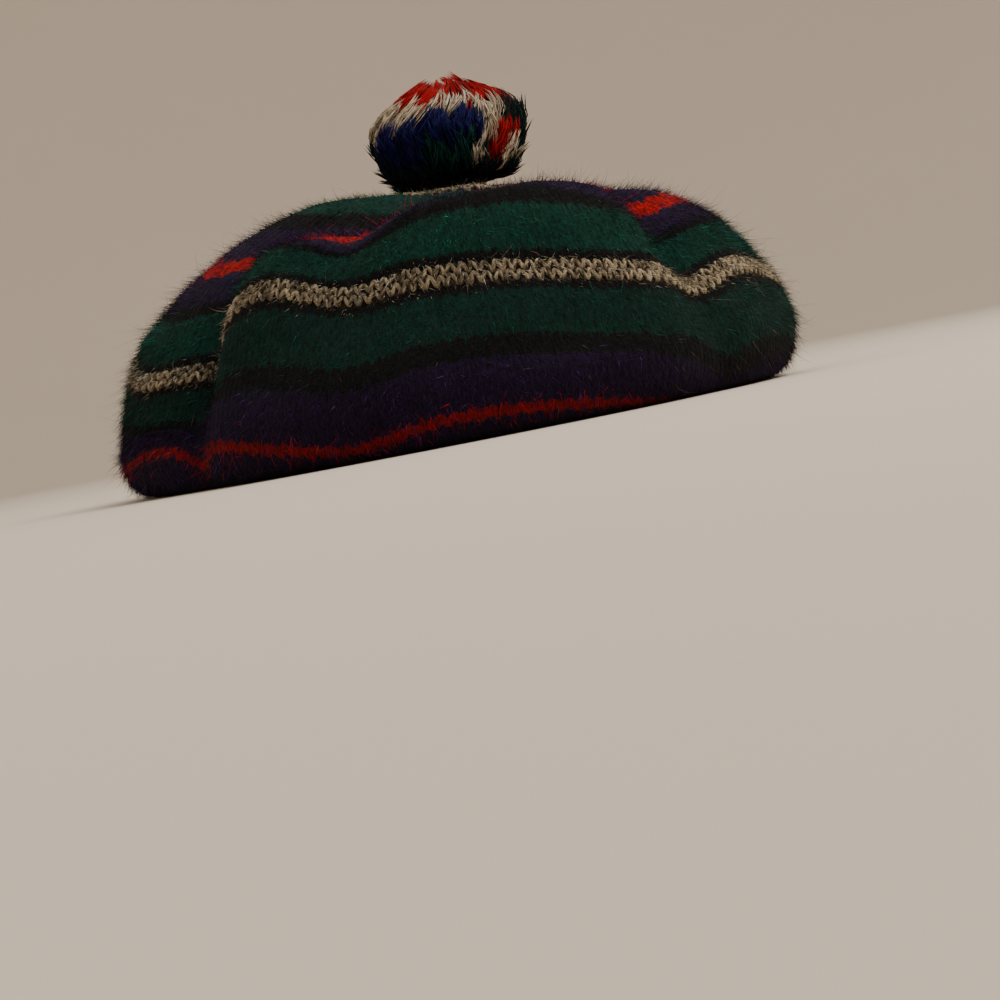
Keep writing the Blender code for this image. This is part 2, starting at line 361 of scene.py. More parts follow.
def between(tree, value, low, high):
    """A value from 0 to 1, spread from low to high."""
    return add(
        tree, "ShaderNodeMapRange", {"Value": value, "To Min": low, "To Max": high}
    ).outputs["Result"]


print("material helpers ready")

# %% [markdown]
# ## The fabric's material
#
# The fabric coordinates say where a point lies in stitches: u counts wales and v counts courses. From them the
# graph draws the two legs of each V-shaped stitch, which lean together downwards. Noise that is stretched along
# the wales stands for the felted fibres on top. The same legs make the edges of the stripes jagged, because a
# stripe can only change colour between stitches.

# %% Dye and felt the knitting
brushed_knit, tree, shader = new_material(
    "brushed_knit", Metallic=0.0, Sheen_Weight=0.03, Sheen_Roughness=0.5, Specular_IOR_Level=0.08
)
stitches = add(tree, "ShaderNodeUVMap", uv_map="stitches").outputs["UV"]
split = add(tree, "ShaderNodeSeparateXYZ", {"Vector": stitches})
wale, course = split.outputs["X"], split.outputs["Y"]
from_gap = calculate(tree, "PINGPONG", wale, 0.5)
down_leg = calculate(tree, "FRACT", course)
leg_middle = calculate(tree, "MULTIPLY_ADD", down_leg, 0.22, 0.14)
off_middle = calculate(tree, "DIVIDE", calculate(tree, "SUBTRACT", from_gap, leg_middle), 0.17)
rounded = calculate(tree, "SUBTRACT", 1.0, calculate(tree, "MULTIPLY", off_middle, off_middle))
leg = calculate(tree, "MAXIMUM", rounded, 0.0)

place = add(tree, "ShaderNodeTexCoord").outputs["Object"]
fuzz = add(tree, "ShaderNodeTexNoise", {"Vector": place, "Scale": 900.0, "Detail": 4.0, "Roughness": 0.7})
patches = add(tree, "ShaderNodeTexNoise", {"Vector": place, "Scale": 60.0, "Detail": 3.0})
stretched = add(tree, "ShaderNodeMapping", {"Vector": stitches, "Scale": (5.0, 1.5, 1.0)})
streaks = add(
    tree, "ShaderNodeTexNoise", {"Vector": stretched.outputs[0], "Scale": 1.6, "Detail": 5.0, "Distortion": 0.6}
)
pale_fibres = add(
    tree, "ShaderNodeTexNoise", {"Vector": stretched.outputs[0], "Scale": 5.0, "Detail": 2.0, "Distortion": 1.6}
)

jag = calculate(tree, "MULTIPLY_ADD", from_gap, 0.6, -0.15)
frayed = calculate(tree, "MULTIPLY_ADD", fuzz.outputs["Fac"], 1.6, -0.80)
ragged_course = calculate(tree, "ADD", calculate(tree, "ADD", course, jag), frayed)
along = calculate(tree, "MULTIPLY", ragged_course, COURSE / RAMP_LENGTH)
ramp = add(tree, "ShaderNodeValToRGB", {"Fac": along})
ramp.color_ramp.interpolation = "CONSTANT"
for k, (start, dye) in enumerate(STRIPES):
    stops = ramp.color_ramp.elements
    stop = stops[k] if k < 2 else stops.new(start / RAMP_LENGTH)
    stop.position = start / RAMP_LENGTH
    stop.color = (*(GAP_SHADE if dye == "cream" else DYES[dye]), 1.0)

# The streaks and patches are the wool's own uneven tone; the darkening between the legs of each stitch, from 0.92
# to 1.02, is painted shade in the hollows.
fibre_tone_and_stitch_shade = calculate(
    tree,
    "MULTIPLY",
    calculate(
        tree,
        "MULTIPLY",
        between(tree, streaks.outputs["Fac"], -0.9, 2.9),
        between(tree, leg, 0.92, 1.02),
    ),
    between(tree, patches.outputs["Fac"], 0.75, 1.25),
)
dyed = add(
    tree, "ShaderNodeVectorMath", {0: ramp.outputs["Color"], "Scale": fibre_tone_and_stitch_shade}, operation="SCALE"
).outputs["Vector"]
glint = between(tree, calculate(tree, "POWER", pale_fibres.outputs["Fac"], 5.0), 0.0, 1.0)
tree.links.new(
    add(
        tree,
        "ShaderNodeMix",
        {"Factor": glint, "A": dyed, "B": (0.07, 0.065, 0.06, 1.0)},
        data_type="RGBA",
    ).outputs["Result"],
    shader.inputs["Base Color"],
)
tree.links.new(between(tree, streaks.outputs["Fac"], 0.98, 0.78), shader.inputs["Roughness"])
relief = calculate(
    tree,
    "ADD",
    calculate(tree, "MULTIPLY", leg, 0.10),
    calculate(
        tree,
        "ADD",
        calculate(tree, "MULTIPLY", streaks.outputs["Fac"], 0.7),
        calculate(tree, "MULTIPLY", fuzz.outputs["Fac"], 0.6),
    ),
)
bump = add(tree, "ShaderNodeBump", {"Height": relief, "Strength": 0.8, "Distance": 0.0012})
tree.links.new(bump.outputs["Normal"], shader.inputs["Normal"])
print("brushed_knit:", len(tree.nodes), "nodes")

# %% [markdown]
# ## The knitted body
#
# The body is one closed bag: an outside, a turned hem round the opening, and an inside. The outside gets low
# ridges along its wales, three points to each leg of a stitch, because relief that is real geometry also shows
# at the outline. The inside needs fewer points, so the last ring of the hem joins four columns to one.

# %% Knit the bag
WALL = 0.0032
HEM_BREADTH = 0.013
RIDGE = 0.00008
CREAM_SINK = 0.0006
OUTER_ROWS = 96
INNER_ROWS = 40
INNER_EVERY = 4
FIRST_LENGTH = 0.008
FEWER_WALES = [(0.045, 4), (0.088, 2)]


def wales_to_one(lengths):
    """How many outer wales make one wale here: knitting has fewer stitches towards the crown."""
    share = np.ones(np.shape(lengths))
    for limit, factor in reversed(FEWER_WALES):
        share = np.where(lengths < limit, factor, share)
    return share


def mesh_object(name, points, faces, material, smooth=True):
    """An object from an array of points and a list of arrays of faces."""
    mesh = bpy.data.meshes.new(name)
    mesh.vertices.add(len(points))
    mesh.vertices.foreach_set("co", np.asarray(points, np.float32).ravel())
    corners = np.concatenate([group.ravel() for group in faces]).astype(np.int32)
    sizes = np.concatenate([np.full(len(group), group.shape[1]) for group in faces])
    starts = np.concatenate([[0], np.cumsum(sizes)[:-1]]).astype(np.int32)
    mesh.loops.add(len(corners))
    mesh.loops.foreach_set("vertex_index", corners)
    mesh.polygons.add(len(sizes))
    mesh.polygons.foreach_set("loop_start", starts)
    mesh.update(calc_edges=True)
    if smooth:
        mesh.shade_smooth()
    mesh.materials.append(material)
    obj = bpy.data.objects.new(name, mesh)
    bpy.context.scene.collection.objects.link(obj)
    return obj


def grid_faces(first, columns, rows):
    """Quads of a grid that closes round, and the row and column of each one's corners."""
    row, column = np.meshgrid(np.arange(rows - 1), np.arange(columns), indexing="ij")
    row, column = row.ravel(), column.ravel()
    after = (column + 1) % columns
    corners = np.stack(
        [
            first + row * columns + column,
            first + (row + 1) * columns + column,
            first + (row + 1) * columns + after,
            first + row * columns + after,
        ],
        axis=1,
    )
    return corners, np.stack([row, row + 1, row + 1, row], 1), np.stack([column, column, column + 1, column + 1], 1)


def flat_uv(columns, lengths):
    """Fabric coordinates of the corners of faces, with one count of wales to each face."""
    share = wales_to_one(lengths.mean(axis=1, keepdims=True))
    return np.stack([columns / (6.0 * share), lengths / COURSE], axis=-1)


row_share = np.linspace(0.0, 1.0, OUTER_ROWS)
outer_lengths = FIRST_LENGTH + row_share[:, None] * (cloth_lengths - FIRST_LENGTH)
outer_columns = np.broadcast_to(np.arange(COLUMNS, dtype=float), outer_lengths.shape)
outer, outward = on_cloth(outer_columns, outer_lengths)
wale_place = outer_columns / (6.0 * wales_to_one(outer_lengths))
ridges = RIDGE * np.cos(4.0 * np.pi * (wale_place - 0.25))
cream_band = np.isin(stripe_at(outer_lengths), ["cream"])
ridges = np.where(cream_band, -CREAM_SINK, ridges) * np.clip(outer[:, :, 2] / 0.006, 0.0, 1.0)
outer = outer + outward * ridges[:, :, None]
outer[:, :, 2] = np.maximum(outer[:, :, 2], 0.0002)

inner_columns = np.arange(2, COLUMNS, INNER_EVERY)
inner_share = np.linspace(1.0, 0.0, INNER_ROWS)
inner_lengths = FIRST_LENGTH + inner_share[:, None] * (cloth_lengths[inner_columns] - FIRST_LENGTH)
inner, inward = on_cloth(np.broadcast_to(inner_columns, inner_lengths.shape), inner_lengths)
from_edge = cloth_lengths[inner_columns] - inner_lengths
depth = WALL * (1.0 + np.clip(1.3 - from_edge / HEM_BREADTH, 0.0, 1.0))
inner = inner - inward * depth[:, :, None]

last, last_normal = outer[-1], outward[-1]
hem_middle = last - last_normal * WALL
to_opening = -unit(hem_middle * (1.0, 1.0, 0.0))
hem_rows = []
for turned in np.radians([40.0, 80.0, 120.0]):
    hem_rows.append(
        hem_middle + last_normal * WALL * math.cos(turned) + to_opening * 0.6 * WALL * math.sin(turned)
    )
outer_all = np.concatenate([outer, hem_rows])
outer_faces, face_rows, face_columns = grid_faces(0, COLUMNS, len(outer_all))
all_lengths = np.concatenate([outer_lengths, [cloth_lengths + 0.002 * k for k in (1, 2, 3)]])
outer_uv = flat_uv(face_columns.astype(float), all_lengths[face_rows, face_columns % COLUMNS])

first_inner = outer_all.shape[0] * COLUMNS
narrow = len(inner_columns)
inner_faces, inner_face_rows, inner_face_columns = grid_faces(first_inner, narrow, INNER_ROWS)
inner_uv = flat_uv(
    inner_face_columns * float(INNER_EVERY) + 2.0, inner_lengths[inner_face_rows, inner_face_columns % narrow]
)

edge = first_inner - COLUMNS
fan = []
for k in range(narrow):
    here = first_inner + k
    rim = [edge + (INNER_EVERY * k + step) % COLUMNS for step in range(INNER_EVERY + 1)]
    fan += [(rim[step], here, rim[step + 1]) for step in range(INNER_EVERY)]
    fan.append((here, first_inner + (k + 1) % narrow, rim[INNER_EVERY]))
fan = np.array(fan)
top_out, top_in = first_inner + narrow * INNER_ROWS, first_inner + narrow * INNER_ROWS + 1
rim_out = np.arange(COLUMNS)
rim_in = first_inner + narrow * (INNER_ROWS - 1) + np.arange(narrow)
cap_out = np.stack([np.full(COLUMNS, top_out), rim_out, np.roll(rim_out, -1)], axis=1)
cap_in = np.stack([np.full(narrow, top_in), np.roll(rim_in, -1), rim_in], axis=1)
points = np.concatenate(
    [outer_all.reshape(-1, 3), inner.reshape(-1, 3), [crown], [crown - (0.0, 0.0, WALL)]]
)
knitted_bag = mesh_object("knitted_bag", points, [outer_faces, inner_faces, fan, cap_out, cap_in], brushed_knit)
uv = np.zeros((len(knitted_bag.data.loops), 2))
uv[: outer_uv.size // 2] = outer_uv.reshape(-1, 2)
uv[outer_uv.size // 2 : (outer_uv.size + inner_uv.size) // 2] = inner_uv.reshape(-1, 2)
uv[(outer_uv.size + inner_uv.size) // 2 :] = (0.0, cloth_lengths.mean() / COURSE)
uv[-3 * (COLUMNS + narrow) :] = (0.0, 0.5)
knitted_bag.data.uv_layers.new(name="stitches").data.foreach_set("uv", uv.astype(np.float32).ravel())
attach(knitted_bag, "root")
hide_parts("knitted_body")
knitted_bag.data.calc_loop_triangles()
print("knitted_bag:", len(knitted_bag.data.loop_triangles), "triangles")

# %% [markdown]
# ## Yarn that shows its stitches
#
# The cream courses are brushed least, so their stitches stay plain to see as rows of V shapes. They are built as
# what they are: one yarn to a course. In plain knitting only the legs of each loop lie in front, so from outside
# a course is a zigzag, and its corners go down behind the neighbouring courses. The arcsine of a sine gives a
# zigzag with corners that are a little rounded, and its own height says how deep each point lies.

# %% Knit the cream courses
YARN = 0.00044
PLIES = 3
PLY_OFFSET = 0.00036
PLY_TURNS = 2.0
CREAM_LOOPS = 180
LEG_HEIGHT = 0.0040
LEG_LIFT = 0.0003
CORNER_DEPTH = 0.0010
CORNER_ROUNDING = 0.95
LOOP_POINTS = 12
YARN_SIDES = 5
CREAM_COURSES = [(0.1298, 1), (0.1338, 1), (0.0332, 4), (0.0372, 4)]
# Painted light: the cream yarn is brighter towards the right front, where the key light falls, as given by this
# table of brightness against azimuth.
CREAM_PAINTED_LIGHT = [
    # azimuth, brightness
    (-150.0, 1.00), (-100.0, 1.15), (-55.0, 0.85), (-15.0, 1.15), (5.0, 1.90), (60.0, 1.90), (110.0, 1.20),
]


def tubes(paths, radii, sides, normals=None, closed=False):
    """Points and faces of many tubes at once, each along its own path. Open tubes end in a point.

    paths is an array of tubes, points and coordinates, and radii one of tubes and points.
    """
    count, steps, _ = paths.shape
    if closed:
        ahead = np.roll(paths, -1, axis=1) - np.roll(paths, 1, axis=1)
    else:
        ahead = np.gradient(paths, axis=1)
    ahead = unit(ahead)
    if normals is None:
        normals = np.broadcast_to(unit(chance.normal(size=(count, 1, 3))), paths.shape)
    side = unit(np.cross(ahead, normals))
    up = np.cross(side, ahead)
    turn = 2.0 * np.pi * np.arange(sides) / sides
    rings = steps if closed else steps - 1
    ring_points = (
        paths[:, :rings, None]
        + radii[:, :rings, None, None]
        * (np.cos(turn)[:, None] * up[:, :rings, None] + np.sin(turn)[:, None] * side[:, :rings, None])
    )
    points = ring_points.reshape(count, rings * sides, 3)
    ring, around = np.meshgrid(np.arange(rings if closed else rings - 1), np.arange(sides), indexing="ij")
    ring, around = ring.ravel(), around.ravel()
    onward, beside = (ring + 1) % rings, (around + 1) % sides
    quads = np.stack(
        [ring * sides + around, ring * sides + beside, onward * sides + beside, onward * sides + around], axis=1
    )
    each = rings * sides
    faces = [quads]
    if not closed:
        points = np.concatenate([points, paths[:, -1:]], axis=1)
        tip = rings * sides
        low = (rings - 1) * sides
        k = np.arange(sides)
        faces.append(np.stack([low + k, low + (k + 1) % sides, np.full(sides, tip)], axis=1))
        faces.append(np.arange(sides)[::-1][None])
        each += 1
    offsets = (np.arange(count) * each)[:, None, None]
    return points.reshape(-1, 3), [(group[None] + offsets).reshape(-1, group.shape[1]) for group in faces]


def colour_points(obj, colours):
    """Stores one dye for each point, which the yarn materials read."""
    layer = obj.data.color_attributes.new(name="dye", type="FLOAT_COLOR", domain="POINT")
    filled = np.ones((len(obj.data.vertices), 4), np.float32)
    filled[:, :3] = colours
    layer.data.foreach_set("color", filled.ravel())


def zigzag_course(length, to_one):
    """The path of one yarn round the hat, and the skin's normals along it."""
    loops = CREAM_LOOPS // to_one
    turn = np.linspace(0.0, 2.0 * np.pi * loops, loops * LOOP_POINTS, endpoint=False)
    zigzag = np.arcsin(CORNER_ROUNDING * np.sin(turn)) / math.asin(CORNER_ROUNDING)
    wander = np.repeat(chance.normal(0.0, 1.0, (loops, 2)), LOOP_POINTS, axis=0)
    wander = blurred(wander, LOOP_POINTS / 4, 0, True)
    columns = (turn / (2.0 * np.pi) + 0.06 * wander[:, 0]) * COLUMNS / loops
    lengths = length + LEG_HEIGHT / 2 * zigzag * (1.0 + 0.12 * wander[:, 1])
    points, normals = on_cloth(columns, lengths)
    lift = LEG_LIFT - CORNER_DEPTH * zigzag**4
    return points + normals * lift[:, None], normals


def plied(path, normals, turns_each):
    """Three plies that turn round one path, a few times in each stitch."""
    ahead = unit(np.roll(path, -1, axis=0) - np.roll(path, 1, axis=0))
    side = unit(np.cross(ahead, normals))
    up = np.cross(side, ahead)
    turn = 2.0 * np.pi * turns_each * np.arange(len(path)) / LOOP_POINTS
    made = []
    for ply in range(PLIES):
        angle = (turn + 2.0 * np.pi * ply / PLIES)[:, None]
        made.append(path + PLY_OFFSET * (np.cos(angle) * up + np.sin(angle) * side))
    return np.array(made)


course_points, course_faces, course_dyes, start = [], [], [], 0
for length, to_one in CREAM_COURSES:
    path, normals = zigzag_course(length, to_one)
    plies = plied(path, normals, PLY_TURNS)
    radii = YARN * (1.0 + chance.normal(0.0, 0.06, plies.shape[:2]))
    made, faces = tubes(plies, radii, YARN_SIDES, np.broadcast_to(normals, plies.shape), closed=True)
    tint = blurred(chance.normal(0.0, 1.0, plies.shape[:2]), 4.0, 1, True)
    around = 360.0 * np.arange(plies.shape[1]) / plies.shape[1]
    # The random part is the yarn's own uneven tone; the brightness by azimuth is painted light.
    tint = (1.0 + 0.5 * tint / tint.std()) * np.interp(around, *np.array(CREAM_PAINTED_LIGHT).T, period=360.0)
    dye = np.array(DYES["cream"]) * np.clip(tint, 0.25, 2.0)[:, :, None]
    course_points.append(made)
    course_faces += [group + start for group in faces]
    course_dyes.append(np.repeat(dye.reshape(-1, 3), YARN_SIDES, axis=0))
    start += len(made)

# %% [markdown]
# The yarn's own material is used for everything that is spun: stitches, hairs, the pompom and its tie. It reads
# the dye that is stored on the points, and adds the mottling of blended fibres.

# %% Spin the yarn's material
spun_yarn, tree, shader = new_material(
    "spun_yarn", Metallic=0.0, Sheen_Weight=0.03, Sheen_Roughness=0.5, Specular_IOR_Level=0.09
)
dye = add(tree, "ShaderNodeAttribute", attribute_name="dye").outputs["Color"]
place = add(tree, "ShaderNodeTexCoord").outputs["Object"]
mottle = add(tree, "ShaderNodeTexNoise", {"Vector": place, "Scale": 700.0, "Detail": 4.0, "Roughness": 0.65})
plies = add(tree, "ShaderNodeTexNoise", {"Vector": place, "Scale": 2200.0, "Detail": 2.0})
tree.links.new(
    add(
        tree,
        "ShaderNodeVectorMath",
        {0: dye, "Scale": between(tree, mottle.outputs["Fac"], 0.45, 1.5)},
        operation="SCALE",
    ).outputs["Vector"],
    shader.inputs["Base Color"],
)
tree.links.new(between(tree, mottle.outputs["Fac"], 0.95, 0.72), shader.inputs["Roughness"])
bump = add(tree, "ShaderNodeBump", {"Height": plies.outputs["Fac"], "Strength": 0.7, "Distance": 0.0004})
tree.links.new(bump.outputs["Normal"], shader.inputs["Normal"])

cream_courses = mesh_object("cream_courses", np.concatenate(course_points), course_faces, spun_yarn)
colour_points(cream_courses, np.concatenate(course_dyes))
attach(cream_courses, "root")
print("cream_courses:", len(CREAM_COURSES), "courses,", 2 * len(cream_courses.data.polygons), "triangles")

# %% [markdown]
# ## The nap
#
# Brushing pulls hairs out of the yarn. Most are short and lie down at random, and a few stand out by a
# centimetre and catch the light round the outline. Blender has a hair system, but plain closed meshes export
# everywhere, so each hair is a thin three-sided tube that ends in a point. A hair keeps the dye of the course
# that it grows from, mixed with a little from its neighbours, which softens the edges of the stripes. Hairs that
# stand together are light or dark together, in clumps that run down the cloth as the brush went.

# %% Raise the short hairs
SHORT_HAIRS = 59000
CREAM_HAIRS = 2500
CLUMP_STEPS = 3.5
CLUMP_CONTRAST = 0.62
SHORTER = {"red": 0.55, "cream": 0.6}
HAIR_RADIUS = 0.00009
HAIR_BLEED = 0.0026
BRUSHED_DOWN = 1.9
CREAM_LIFT = 0.0008
PALE_HAIR = (0.30, 0.25, 0.18)


def scattered(count):
    """Columns and lengths of random places, evenly spread over the area of the cloth."""
    columns = chance.uniform(0.0, COLUMNS, 3 * count)
    shares = chance.uniform(0.05, 0.90, 3 * count)
    lengths = shares * cloth_lengths[columns.astype(int)]
    points, _ = on_cloth(columns, lengths)
    radius = np.hypot(points[:, 0] - crown[0], points[:, 1] - crown[1])
    kept = chance.uniform(0.0, 0.128, 3 * count) < radius
    return columns[kept][:count], lengths[kept][:count]


def grown_hairs(columns, lengths, hair_lengths, steps, upright, curl):
    """Paths of hairs: they leave the cloth, lean over, more of them downwards than not, and bend."""
    roots, normals = on_cloth(columns, lengths)
    below, _ = on_cloth(columns, lengths + 0.001)
    sideways = chance.normal(size=roots.shape) + BRUSHED_DOWN * unit(below - roots)
    sideways = unit(sideways - normals * (sideways * normals).sum(1, keepdims=True))
    lean = unit(normals * upright[:, None] + sideways)
    bend = np.clip(chance.normal(size=roots.shape), -1.4, 1.4) * curl
    from_yarn = np.where(stripe_at(lengths) == "cream", CREAM_LIFT, -0.0003)
    part = np.linspace(0.0, 1.0, steps)[None, :, None]
    reach = hair_lengths[:, None, None]
    paths = roots[:, None] + (from_yarn[:, None] * normals)[:, None]
    paths = paths + lean[:, None] * reach * part + bend[:, None] * reach * part**2
    paths[:, :, 2] = np.maximum(paths[:, :, 2], 0.0004)
    return paths


clumps = blurred(chance.normal(size=(COLUMNS, STEPS)), CLUMP_STEPS, 1, False)
clumps = np.exp(CLUMP_CONTRAST * clumps / clumps.std())


def hair_dyes(columns, lengths):
    """Linear colours of hairs that grow at these places, lighter and more uneven than the cloth."""
    names = stripe_at(lengths + chance.normal(0.0, HAIR_BLEED, len(lengths)))
    dyes = np.array([DYES[name] for name in names])
    dyes = dyes * (0.55 + chance.gamma(0.8, 1.6, (len(lengths), 1)))
    row = np.clip(lengths / cloth_lengths[columns.astype(int)] * STEPS, 0, STEPS - 1).astype(int)
    dyes = dyes * clumps[columns.astype(int), row][:, None]
    dyes = dyes + chance.gamma(1.0, 0.0012, (len(lengths), 1))
    pale = chance.uniform(0.0, 1.0, len(lengths)) < 0.006
    dyes[pale] = np.array(PALE_HAIR) * chance.uniform(0.3, 1.0, (pale.sum(), 1))
    return np.minimum(dyes, 0.9), names


def taper(count, steps, radius):
    return np.broadcast_to(radius * np.linspace(1.0, 0.45, steps), (count, steps))


def hairs_object(name, paths, radius, dyes):
    made, faces = tubes(paths, taper(len(paths), paths.shape[1], radius), 3)
    obj = mesh_object(name, made, faces, spun_yarn)
    colour_points(obj, np.repeat(dyes, len(made) // len(paths), axis=0))
    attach(obj, "root")
    obj.data.calc_loop_triangles()
    print(name + ":", len(paths), "hairs,", len(obj.data.loop_triangles), "triangles")
    return obj


columns, lengths = scattered(SHORT_HAIRS)
columns = np.concatenate([columns, chance.uniform(0.0, COLUMNS, CREAM_HAIRS)])
lengths = np.concatenate([lengths, chance.uniform(0.126, 0.137, CREAM_HAIRS)])
dyes, names = hair_dyes(columns, lengths)
hair_lengths = 0.0019 + chance.gamma(2.2, 0.0010, len(lengths))
hair_lengths *= np.clip((lengths - 0.01) / 0.05, 0.3, 1.0)
hair_lengths *= [SHORTER.get(name, 1.0) for name in names]
paths = grown_hairs(columns, lengths, hair_lengths, 2, chance.uniform(0.3, 1.3, len(lengths)), 0.0)
for dye_name in DYES:
    chosen = names == dye_name
    hairs_object("nap_" + dye_name, paths[chosen], HAIR_RADIUS, dyes[chosen])

# %% [markdown]
# The long hairs are fewer and finer. They are what draws the soft outline against the light.

# %% Raise the long hairs
LONG_HAIRS = 11500
LONG_RADIUS = 0.00005

columns, lengths = scattered(LONG_HAIRS)
dyes, _ = hair_dyes(columns, lengths)
hair_lengths = 0.0022 + chance.gamma(1.6, 0.0012, len(lengths))
hair_lengths *= np.clip((lengths - 0.01) / 0.05, 0.3, 1.0)
paths = grown_hairs(
    columns, lengths, np.minimum(hair_lengths, 0.0085), 4, chance.uniform(0.5, 2.2, len(lengths)), 0.6
)
halo = hairs_object("long_hairs", paths, LONG_RADIUS, dyes * 0.7 + 0.001)

# %% [markdown]
# ## The pompom
#
# A pompom is a bundle of yarn tied in its middle, with its ends cut and fluffed into fibres. It was wound in
# patches of colour, and from the tie every end runs up and outwards. So each yarn end is a small bunch of
# fibres with one curve and one dye. Which dye it gets depends on the patch that it ends in: each patch is a
# direction from the middle of the ball, and an end belongs to the nearest one. The reach of a patch is less
# than 1 where it is only a narrow streak.

# %% List the patches of the pompom
PATCHES = [
    # dye, right, up, reach, seen from the wearer's front right
    ("red", -0.41, 0.71, 0.9), ("red", -0.05, 0.86, 1.0), ("red", 0.27, 0.84, 1.0), ("red", 0.51, 0.73, 0.6),
    ("red", 0.28, 0.54, 0.35), ("red", 0.68, -0.04, 0.8), ("red", 0.84, 0.05, 0.7), ("red", 0.65, -0.43, 0.5),
    ("cream", -0.89, 0.16, 1.0), ("cream", -0.66, 0.34, 1.0), ("cream", -0.41, 0.43, 1.0),
    ("cream", -0.12, 0.54, 0.9), ("cream", 0.11, 0.62, 0.7), ("cream", 0.46, 0.49, 0.9),
    ("cream", 0.55, 0.23, 0.8), ("cream", 0.52, -0.04, 0.5), ("cream", 0.39, -0.43, 0.3),
    ("cream", 0.81, -0.34, 0.7), ("cream", 0.72, -0.52, 0.5),
    ("navy", -0.82, -0.17, 1.0), ("navy", -0.54, -0.04, 1.0), ("navy", -0.28, 0.14, 1.0),
    ("navy", 0.04, 0.32, 1.0), ("navy", 0.30, 0.23, 0.9), ("navy", -0.02, -0.08, 1.0),
    ("navy", 0.39, 0.01, 0.7), ("navy", -0.50, -0.43, 1.0),
    ("green", 0.04, -0.39, 1.0), ("green", -0.18, -0.34, 0.8), ("green", 0.23, -0.25, 0.9),
    ("dark", -0.60, -0.74, 1.0), ("dark", -0.18, -0.78, 1.0), ("dark", 0.30, -0.74, 1.0),
    ("dark", 0.55, -0.56, 0.7), ("dark", 0.68, 0.40, 0.6), ("dark", 0.81, 0.27, 0.7),
    ("dark", 0.97, 0.05, 1.0), ("dark", 0.72, -0.62, 0.8),
]
POMPOM_DYES = {
    "red": (0.34, 0.005, 0.007),
    "cream": (0.50, 0.42, 0.31),
    "navy": (0.006, 0.007, 0.075),
    "green": (0.002, 0.040, 0.030),
    "dark": (0.002, 0.012, 0.011),
}
PHOTO_AZIMUTH = -45.0
PHOTO_ROLL = 11.0

to_camera = toward(PHOTO_AZIMUTH)
to_right = toward(PHOTO_AZIMUTH + 90.0)
patch_dyes, patch_places, patch_reaches = [], [], []
for dye_name, right, up, reach in PATCHES:
    roll = math.radians(PHOTO_ROLL)
    level = right * math.cos(roll) + up * math.sin(roll)
    height = -right * math.sin(roll) + up * math.cos(roll)
    front = math.sqrt(max(0.02, 1.0 - level**2 - height**2))
    for side in (1.0, -1.0):
        patch_places.append(side * (to_right * level + to_camera * front) + np.array([0.0, 0.0, height]))
        patch_dyes.append(POMPOM_DYES[dye_name])
        patch_reaches.append(reach)
patch_places, patch_dyes = unit(np.array(patch_places)), np.array(patch_dyes)
patch_reaches = np.array(patch_reaches)
print("patches:", len(patch_places))

# %% [markdown]
# The ball's outline is a short table of half widths and heights. The ends are spread over it evenly by a spiral
# that turns by the golden angle, then moved a little at random. The pompom has been stroked upwards, so its yarn
# lies along the ball: each end comes out of the bundle lower down, follows the side and stops in a loose tip.
# On one side a hand has swept the top ends aside, and one end in seven stands off a little.

# %% Bundle the yarn ends
YARN_ENDS = 1180
FIBRES = 7
FIBRE_RADIUS = 0.00027
FIBRE_STEPS = 5
POMPOM_WIDTH = 0.0560
POMPOM_HEIGHT = 0.0388
ROOT_DEPTH = 0.009
OUTLINE = [
    # latitude, half width and height as shares of the ball's
    (-90.0, 0.00, 0.00), (-60.0, 0.74, 0.03), (-30.0, 0.90, 0.22), (0.0, 1.04, 0.50),
    (30.0, 0.91, 0.73), (60.0, 0.47, 0.92), (90.0, 0.00, 1.05),
]
OUTLINE_ROUNDING = 9.0
GOLDEN_ANGLE = 137.50776
SWEEP = 45.0
SWEEP_MIDDLE = -35.0
SWEEP_HALF = 50.0

all_latitudes = np.arange(-90.0, 91.0)
outline_latitudes, outline_widths, outline_heights = np.array(OUTLINE).T
all_widths = blurred(np.interp(all_latitudes, outline_latitudes, outline_widths), OUTLINE_ROUNDING, 0, False)
all_heights = blurred(np.interp(all_latitudes, outline_latitudes, outline_heights), OUTLINE_ROUNDING, 0, False)
ball_base = crown + (0.0, 0.0, 0.0035)
ball_middle = ball_base + (0.0, 0.0, POMPOM_HEIGHT / 2)
root = crown - (0.0, 0.0, ROOT_DEPTH)


def outline_point(azimuth, latitude, scale=1.0):
    """Points on the ball's outline, shrunk towards its middle by scale."""
    width = np.interp(latitude, all_latitudes, all_widths) * POMPOM_WIDTH / 2
    height = np.interp(latitude, all_latitudes, all_heights) * POMPOM_HEIGHT
    level = POMPOM_HEIGHT / 2
    return ball_base + toward(azimuth, width * scale, level + (height - level) * scale)


def patch_of(points):
    """The dye of the patch that each point of the ball belongs to."""
    away = unit((points - ball_middle) / (POMPOM_WIDTH / 2, POMPOM_WIDTH / 2, POMPOM_HEIGHT / 2))
    angles = np.arccos(np.clip(away @ patch_places.T, -1.0, 1.0)) / patch_reaches
    return patch_dyes[np.argmin(angles, axis=1)]


